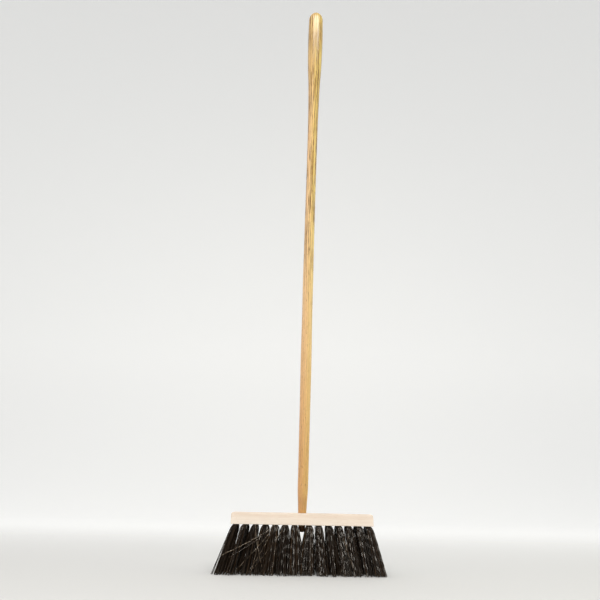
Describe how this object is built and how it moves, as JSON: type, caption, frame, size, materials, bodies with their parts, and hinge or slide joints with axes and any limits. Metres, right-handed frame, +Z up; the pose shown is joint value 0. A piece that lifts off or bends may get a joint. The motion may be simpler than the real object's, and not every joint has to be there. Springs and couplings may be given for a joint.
{
  "type": "push broom",
  "caption": "Push broom with a plain wooden block, fanned rows of stiff dark bristle tufts and a long turned wooden handle set in at a slant.",
  "frame": {"origin": "in the plane of the trimmed bristle tips (the floor when the broom stands square on its tufts), under the middle of the whole broom's box; the middle of the block is at +Y 0.218 m", "axes": "+Z up, square to the block's top face; X along the block; the handle leans 21 degrees from +Z towards -Y, the sweeper's side, and +Y is the way the broom is pushed"},
  "size_m": [0.4142, 0.548, 1.373],
  "materials": {
    "block_wood": "matte",
    "handle_wood": "satin",
    "bristle": "gloss"
  },
  "bodies": {
    "head": {"block": "block_wood", "tuft_row1_01": "bristle", "tuft_row1_02": "bristle", "tuft_row1_03": "bristle", "tuft_row1_04": "bristle", "tuft_row1_05": "bristle", "tuft_row1_06": "bristle", "tuft_row1_07": "bristle", "tuft_row1_08": "bristle", "tuft_row1_09": "bristle", "tuft_row1_10": "bristle", "tuft_row1_11": "bristle", "tuft_row1_12": "bristle", "tuft_row1_13": "bristle", "tuft_row1_14": "bristle", "tuft_row2_01": "bristle", "tuft_row2_02": "bristle", "tuft_row2_03": "bristle", "tuft_row2_04": "bristle", "tuft_row2_05": "bristle", "tuft_row2_06": "bristle", "tuft_row2_07": "bristle", "tuft_row2_08": "bristle", "tuft_row2_09": "bristle", "tuft_row2_10": "bristle", "tuft_row2_11": "bristle", "tuft_row2_12": "bristle", "tuft_row2_13": "bristle", "tuft_row2_14": "bristle", "tuft_row3_01": "bristle", "tuft_row3_02": "bristle", "tuft_row3_03": "bristle", "tuft_row3_04": "bristle", "tuft_row3_05": "bristle", "tuft_row3_06": "bristle", "tuft_row3_07": "bristle", "tuft_row3_08": "bristle", "tuft_row3_09": "bristle", "tuft_row3_10": "bristle", "tuft_row3_11": "bristle", "tuft_row3_12": "bristle", "tuft_row3_13": "bristle", "tuft_row3_14": "bristle", "tuft_row4_01": "bristle", "tuft_row4_02": "bristle", "tuft_row4_03": "bristle", "tuft_row4_04": "bristle", "tuft_row4_05": "bristle", "tuft_row4_06": "bristle", "tuft_row4_07": "bristle", "tuft_row4_08": "bristle", "tuft_row4_09": "bristle", "tuft_row4_10": "bristle", "tuft_row4_11": "bristle", "tuft_row4_12": "bristle", "tuft_row4_13": "bristle", "tuft_row4_14": "bristle"},
    "handle": {"handle": "handle_wood"}
  },
  "joints": [
    {"name": "handle_pull", "type": "slide", "parent": "head", "child": "handle", "axis": [0, -0.3584, 0.9336], "range_m": [0, 0.05]}
  ]
}
